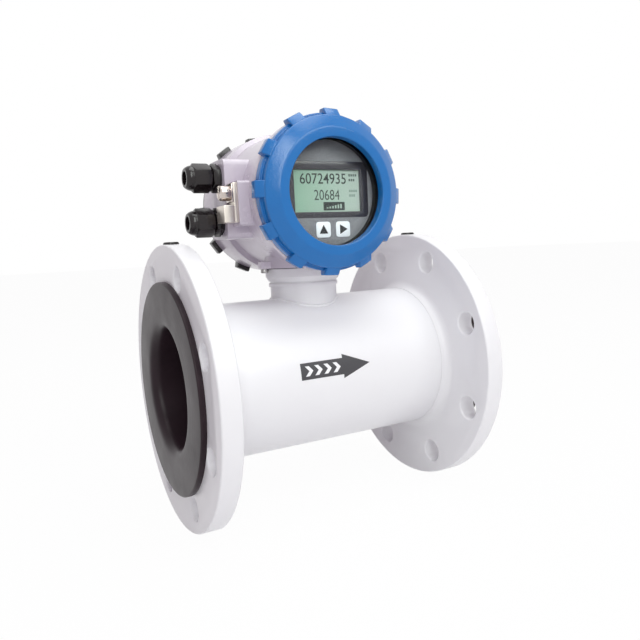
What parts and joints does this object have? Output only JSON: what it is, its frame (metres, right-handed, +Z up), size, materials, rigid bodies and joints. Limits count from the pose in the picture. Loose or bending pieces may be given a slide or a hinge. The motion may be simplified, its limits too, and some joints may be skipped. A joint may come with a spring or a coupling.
{
  "type": "electromagnetic flow meter",
  "caption": "Flanged lined pipe section with a round converter head on a short neck, a window over a digital display with keys, screw covers and cable glands.",
  "frame": {"origin": "on the pipe's axis at mid-length", "axes": "+X along the flow to the outlet, -Y to the display, +Z up along the neck"},
  "size_m": [0.254, 0.229, 0.3282],
  "materials": {
    "white_paint": "gloss",
    "blue_paint": "textured gloss",
    "black_paint": "gloss",
    "grey_paint": "satin",
    "liner": "matte",
    "steel": "satin",
    "plated": "satin",
    "clamp": "satin",
    "copper": "lacquered",
    "brass": "satin",
    "seal": "matte",
    "black_plastic": "satin",
    "insulator": "matte",
    "window": "clear",
    "fascia": "matte",
    "bezel": "gloss",
    "screen": "satin",
    "key_white": "satin",
    "board": "satin",
    "terminal": "matte"
  },
  "bodies": {
    "meter": {"inlet_flange": "white_paint", "outlet_flange": "white_paint", "sensor_casing": "white_paint", "neck": "white_paint", "converter_housing": "grey_paint", "rubber_liner": "liner", "measuring_tube": "steel", "pole_shoe_upper": "steel", "pole_shoe_lower": "steel", "return_yoke": "steel", "electrodes": "steel", "electrode_nuts": "steel", "neck_screws": "steel", "neck_lock_screw": "steel", "fascia_screws": "steel", "pillar_screws": "steel", "earth_screw": "plated", "earth_washer": "plated", "terminal_screws": "plated", "terminal_fixing_screws": "plated", "earth_clamp": "clamp", "coil_upper": "copper", "coil_lower": "copper", "board_pillars": "brass", "neck_gasket": "seal", "front_cover_seal": "seal", "feedthrough_bush": "seal", "upper_gland_washer": "seal", "lower_gland_washer": "seal", "flange_plugs": "black_plastic", "upper_gland_body": "black_plastic", "lower_gland_body": "black_plastic", "key_switches": "black_plastic", "electrode_bushes": "insulator", "display_fascia": "fascia", "lcd_bezel": "bezel", "lcd_module": "screen", "display_board": "board", "main_board": "board", "terminal_block": "terminal"},
    "front_window": {"front_glass": "window", "glass_gasket": "seal"},
    "front_cover": {"front_cover": "blue_paint", "glass_retaining_ring": "black_plastic"},
    "rear_seal": {"rear_cover_seal": "seal"},
    "rear_cover": {"rear_cover": "black_paint"},
    "upper_gland_seal": {"upper_gland_seal": "seal"},
    "upper_gland_nut": {"upper_gland_nut": "black_plastic"},
    "lower_gland_seal": {"lower_gland_seal": "seal"},
    "lower_gland_nut": {"lower_gland_nut": "black_plastic"},
    "key_up": {"key_up": "key_white"},
    "key_right": {"key_right": "key_white"}
  },
  "joints": [
    {"name": "front_cover_travel", "type": "slide", "parent": "meter", "child": "front_window", "axis": [0, -1, 0], "range_m": [0, 0.008]},
    {"name": "front_cover_turn", "type": "hinge", "parent": "front_window", "child": "front_cover", "pos_m": [0, -0.0492, 0.1485], "axis": [0, -1, 0], "range_deg": [0, 1440]},
    {"name": "rear_cover_travel", "type": "slide", "parent": "meter", "child": "rear_seal", "axis": [0, 1, 0], "range_m": [0, 0.008]},
    {"name": "rear_cover_turn", "type": "hinge", "parent": "rear_seal", "child": "rear_cover", "pos_m": [0, 0.073, 0.1485], "axis": [0, 1, 0], "range_deg": [0, 1440]},
    {"name": "upper_gland_travel", "type": "slide", "parent": "meter", "child": "upper_gland_seal", "axis": [-1, 0, 0], "range_m": [0, 0.0045]},
    {"name": "upper_gland_turn", "type": "hinge", "parent": "upper_gland_seal", "child": "upper_gland_nut", "pos_m": [-0.071, 0.004, 0.1663], "axis": [-1, 0, 0], "range_deg": [0, 1080]},
    {"name": "lower_gland_travel", "type": "slide", "parent": "meter", "child": "lower_gland_seal", "axis": [-1, 0, 0], "range_m": [0, 0.0045]},
    {"name": "lower_gland_turn", "type": "hinge", "parent": "lower_gland_seal", "child": "lower_gland_nut", "pos_m": [-0.071, 0.004, 0.1307], "axis": [-1, 0, 0], "range_deg": [0, 1080]},
    {"name": "key_up_press", "type": "slide", "parent": "meter", "child": "key_up", "axis": [0, 1, 0], "range_m": [0, 0.0008], "stiffness_N_per_m": 600},
    {"name": "key_right_press", "type": "slide", "parent": "meter", "child": "key_right", "axis": [0, 1, 0], "range_m": [0, 0.0008], "stiffness_N_per_m": 600}
  ],
  "couplings": [
    {"joint": "front_cover_travel", "follows": "front_cover_turn", "m_per_rad": 0.00031831},
    {"joint": "rear_cover_travel", "follows": "rear_cover_turn", "m_per_rad": 0.00031831},
    {"joint": "upper_gland_travel", "follows": "upper_gland_turn", "m_per_rad": 0.00023873},
    {"joint": "lower_gland_travel", "follows": "lower_gland_turn", "m_per_rad": 0.00023873}
  ]
}
